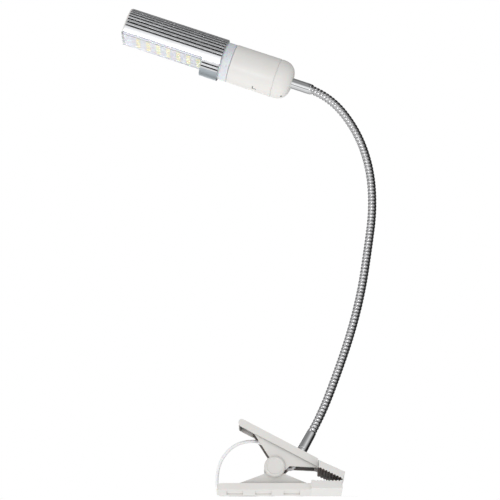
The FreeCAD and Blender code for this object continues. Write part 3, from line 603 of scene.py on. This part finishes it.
def make_fittings():
    """The chrome ferrule at the neck's foot and the chrome sleeve at its head."""
    foot = Matrix.Translation(NECK_START) @ Matrix.Rotation(-math.radians(NECK_HEADING), 4, "Y")
    ferrule = [
        (1.5, 4.45), (1.5, 4.65), (1.0, 4.75), (0, 4.8), (-2, 4.85), (-14, 5.1), (-16.8, 5.2), (-17.4, 5.1),
        (-18.0, 5.22), (-21.5, 5.22), (-21.5, 4.45),
    ]
    piece = lathe("ferrule", rounded(ferrule, 0.3), foot)
    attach(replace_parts(paint(piece, "chrome"), "neck_ferrule"), "lever")
    top = neck_place(len(LINK_TURNS) * LINK_LENGTH)
    end = SLEEVE_LENGTH / MM
    sleeve = [
        (-6, 4.5), (-6, 4.75), (-4.5, 5.2), (-3.6, 5.35), (-3.0, 5.2), (-2.4, 5.35), (0, 5.4), (end, 5.4),
        (end + 4, 5.4), (end + 4, 2.9), (0.4, 2.9), (0.4, 4.5),
    ]
    piece = lathe("sleeve", rounded(sleeve, 0.25), top)
    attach(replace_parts(paint(piece, "chrome"), "neck_sleeve"), "head")


# ---------------------------------------------------------------- holder and lamp


def head_frame():
    """The lamp head's frame: +X runs out along it, and +Z points to its LED side."""
    return neck_place(len(LINK_TURNS) * LINK_LENGTH + 1e-9) @ Matrix.Translation((SLEEVE_LENGTH, 0, 0))


HEAD = head_frame()
HOLDER_END = 64  # millimetres along the head, where the lamp's collar starts


def cut_out(piece, cutters):
    """Takes the cutters' shapes out of a piece for good, and removes them."""
    for cutter in cutters:
        cut = piece.modifiers.new("Cut", "BOOLEAN")
        cut.operation = "DIFFERENCE"
        cut.solver = "EXACT"
        cut.object = cutter
    bpy.context.view_layer.update()
    done = piece.evaluated_get(bpy.context.evaluated_depsgraph_get())
    mesh = bpy.data.meshes.new_from_object(done)
    piece.modifiers.clear()
    piece.data = mesh
    for cutter in cutters:
        bpy.data.objects.remove(cutter)


def skin_cutter(x, angle, length, width, reach):
    """A cutter at x along the head, this many degrees round from the LED side."""
    spin = Matrix.Rotation(math.radians(angle), 4, "X")
    place = HEAD @ spin @ Matrix.Translation(Vector((x + length / 2, 0, reach + 2)) * MM)
    return box("cutter", (length, width, 4), place, 0.05)


def dome_curve(centre, reach, steps, squareness=2.35):
    """A quarter of a superellipse in (along, radius), from the dome's tip to its widest point."""
    points = []
    for i in range(steps + 1):
        angle = math.pi / 2 * i / steps
        back = math.cos(angle) ** (2 / squareness)
        out = math.sin(angle) ** (2 / squareness)
        points.append((centre[0] - reach[0] * back, centre[1] + reach[1] * out))
    return points


def make_holder():
    """The holder's domed cap and its body, with the latch slots in both."""
    dome, end, outer, wall = 17, HOLDER_END, 20.0, 2.2
    outside = dome_curve((dome - 1.5, 5.4), (dome - 1.5, outer - 5.4), 40)
    inside = dome_curve((dome - 1.5, 5.4), (dome - 4.7, outer - wall - 5.4), 30)[::-1]
    profile = outside + [(dome - 0.75, outer), (dome - 0.55, outer - 0.35), (dome - 0.1, outer - 0.4),
                         (dome - 0.1, outer - wall)] + inside
    cap = lathe("cap_of_holder", profile, HEAD, 128)
    cut_out(cap, [skin_cutter(5, 8, 1.6, 2.6, 15.6)])
    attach(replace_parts(paint(smooth_by_angle(cap), "white_plastic"), "holder_cap"), "head")
    body = [
        (dome, outer - wall), (dome, outer - 0.4), (dome + 0.35, outer - 0.35), (dome + 0.6, outer),
        (end - 0.9, outer), (end - 0.3, outer - 0.15), (end, outer - 0.6), (end, 17.6), (end - 0.2, 17.4),
        (end - 2, 17.4), (end - 3, outer - wall),
    ]
    piece = lathe("body_of_holder", body, HEAD, 128)
    cut_out(piece, [skin_cutter(32, 13, 4.5, 1.1, outer - 1.1), skin_cutter(35.4, 18, 1.1, 4, outer - 1.1)])
    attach(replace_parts(paint(smooth_by_angle(piece), "white_plastic"), "holder_body"), "head")


def smooth_by_angle(piece, angle=35):
    """Smooth faces, with edges sharper than the angle kept sharp."""
    for polygon in piece.data.polygons:
        polygon.use_smooth = True
    work = bmesh.new()
    work.from_mesh(piece.data)
    for edge in work.edges:
        if len(edge.link_faces) == 2 and edge.calc_face_angle(0) > math.radians(angle):
            edge.smooth = False
    work.to_mesh(piece.data)
    work.free()
    return piece


def make_collar():
    """The lamp's translucent collar, with its stepped rim."""
    start = HOLDER_END
    profile = [
        (start - 1.5, 14.1), (start - 1.5, 16.9), (start + 0.3, 16.9), (start + 0.3, 18.9),
        (start + 0.9, 19.6), (start + 8.8, 19.6), (start + 9.3, 19.2), (start + 10.25, 19.2),
        (start + 10.25, 14.1),
    ]
    piece = lathe("collar", rounded(profile, 0.25), HEAD, 96)
    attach(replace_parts(paint(smooth_by_angle(piece), "frosted_plastic"), "lamp_collar"), "lamp")


def make_caps():
    """The pivot's two round caps, each with a bevelled rim and a shallow dished face."""
    profile = [
        (0.05, 0.0), (0.05, 10.2), (0.3, 10.4), (1.3, 10.4), (2.0, 10.1), (2.9, 9.1), (3.25, 8.5),
        (3.28, 8.2), (3.0, 7.8), (2.6, 7.5), (2.6, 0.0),
    ]
    for side, name in ((-1, "front"), (1, "back")):
        place = Matrix.Translation(PIVOT + Vector((0, side * 0.0113, 0)))
        turn = Matrix.Rotation(math.radians(90 * side), 4, "Z")
        piece = lathe(f"cap_{name}", [(a, max(r, 0.001)) for a, r in profile], place @ turn, 96)
        paint(smooth_by_angle(piece, 50), "white_plastic")
        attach(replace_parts(piece, f"pivot_cap_{name}"), "lever")


# ---------------------------------------------------------------- the cord's pieces


def make_cord():
    """The cord's visible run, its coil and its tail as one line."""
    points = CORD_ROUTE + coil_points() + TAIL_ROUTE
    guide = nurbs("cord_line", points)
    line = line_of(guide)
    bpy.data.objects.remove(guide)
    piece = paint(tube_along("cord", line, CORD_DIAMETER / 2), "cord_white")
    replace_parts(piece, "cord_tube", "cord_coil", "cord_tail")
    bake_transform(piece)


# ---------------------------------------------------------------- table and light


def make_floor():
    """A pale table in two sheets that let the studio's light through. Seen from below, the near one
    is clear and the far one is lit."""
    split, reach, drop = 0.017, 3.0, -0.0005
    for name, near, far in (("near", -reach, split), ("far", split, reach)):
        verts = [(-reach, near, drop), (reach, near, drop), (reach, far, drop), (-reach, far, drop)]
        sheet = new_mesh(f"table_{name}", verts, [(0, 1, 2, 3)], smooth=False)
        look = Looks(f"table_{name}")
        look.set(Base_Color=(0.88, 0.88, 0.88, 1), Roughness=0.6)
        geometry = look.nodes.new("ShaderNodeNewGeometry")
        ray = look.nodes.new("ShaderNodeLightPath")
        below = look.nodes.new("ShaderNodeBsdfTransparent" if name == "near" else "ShaderNodeEmission")
        sides = mixed(look, geometry.outputs["Backfacing"], look.shader.outputs["BSDF"], below.outputs[0])
        clear = look.nodes.new("ShaderNodeBsdfTransparent")
        seen = mixed(look, ray.outputs["Is Camera Ray"], clear.outputs[0], sides)
        look.links.new(seen, look.nodes["Material Output"].inputs["Surface"])
        sheet.data.materials.append(look.material)


def ramp_of(tree, value, points):
    """A smooth ramp of grey levels over a value, from (position, level) pairs."""
    ramp = tree.nodes.new("ShaderNodeValToRGB")
    elements = ramp.color_ramp.elements
    while len(elements) < len(points):
        elements.new(0.5)
    for element, (position, level) in zip(elements, points):
        element.position = position
        element.color = (level, level, level, 1)
    tree.links.new(value, ramp.inputs["Fac"])
    return ramp.outputs["Color"]


def from_direction(tree, value):
    """A direction's coordinate, -1 to 1, as 0 to 1."""
    ranged = tree.nodes.new("ShaderNodeMapRange")
    ranged.inputs["From Min"].default_value = -1
    tree.links.new(value, ranged.inputs["Value"])
    return ranged.outputs[0]


def background(tree, colour, strength):
    sky = tree.nodes.new("ShaderNodeBackground")
    if colour is not None:
        tree.links.new(colour, sky.inputs["Color"])
    else:
        sky.inputs["Color"].default_value = (1, 1, 1, 1)
    sky.inputs["Strength"].default_value = strength
    return sky.outputs[0]


def make_world():
    """A white studio: brighter below than above, with dark panels to the right that metal shows."""
    world = bpy.data.worlds.new("studio")
    SCENE.world = world
    world.use_nodes = True
    tree = world.node_tree
    tree.nodes.clear()
    where = tree.nodes.new("ShaderNodeTexCoord")
    split = tree.nodes.new("ShaderNodeSeparateXYZ")
    tree.links.new(where.outputs["Generated"], split.inputs[0])
    right = from_direction(tree, split.outputs["X"])
    height = from_direction(tree, split.outputs["Z"])
    depth = from_direction(tree, split.outputs["Y"])
    soft = background(tree, ramp_of(tree, height, [(0.2, 1.0), (0.5, 0.6), (0.95, 0.44)]), 1.18)
    left_side = ramp_of(tree, depth, [(0.05, 1.0), (0.5, 0.72), (1.0, 0.5)])
    right_side = ramp_of(tree, depth, [(0.0, 0.9), (0.12, 0.55), (0.25, 0.28), (0.42, 0.02)])
    to_right = ramp_of(tree, right, [(0.54, 0.0), (0.68, 1.0)])
    panels = mixed_colours(tree, "MIX", left_side, right_side, to_right)
    bands = ramp_of(tree, height, [
        (0.14, 1.0), (0.185, 0.1), (0.21, 0.1), (0.26, 1.0),
        (0.5, 0.95), (0.62, 0.45), (0.78, 0.25), (0.95, 0.6),
    ])
    shine = mixed_colours(tree, "MULTIPLY", panels, bands)
    metal_light = background(tree, shine, 1.05)
    path = tree.nodes.new("ShaderNodeLightPath")
    lit = mixed(tree, path.outputs["Is Glossy Ray"], soft, metal_light)
    whole = mixed(tree, path.outputs["Is Camera Ray"], lit, background(tree, None, 1.0))
    output = tree.nodes.new("ShaderNodeOutputWorld")
    tree.links.new(whole, output.inputs["Surface"])


def area_light(name, place, target, size, power):
    light = bpy.data.lights.new(name, "AREA")
    light.energy = power
    light.size = size
    holder = bpy.data.objects.new(name, light)
    holder.location = place
    holder.rotation_mode = "QUATERNION"
    holder.rotation_quaternion = look_from(place, target)
    SCENE.collection.objects.link(holder)


def make_lights():
    area_light("key", (-0.9, -1.9, -0.5), (0, 0, 0.25), 0.5, 5)
    area_light("top", (-0.5, -0.9, 1.7), (0, 0, 0.25), 0.6, 2.5)
    area_light("back", (-0.6, 1.5, 0.6), (0, 0, 0.25), 0.8, 3)


# ---------------------------------------------------------------- all of it


make_camera()
make_cord()
paint_nodes()
make_hose()
make_fittings()
make_holder()
make_collar()
make_caps()
paint_second_looks()
make_floor()
make_world()
make_lights()
SCENE.view_settings.view_transform = "Standard"
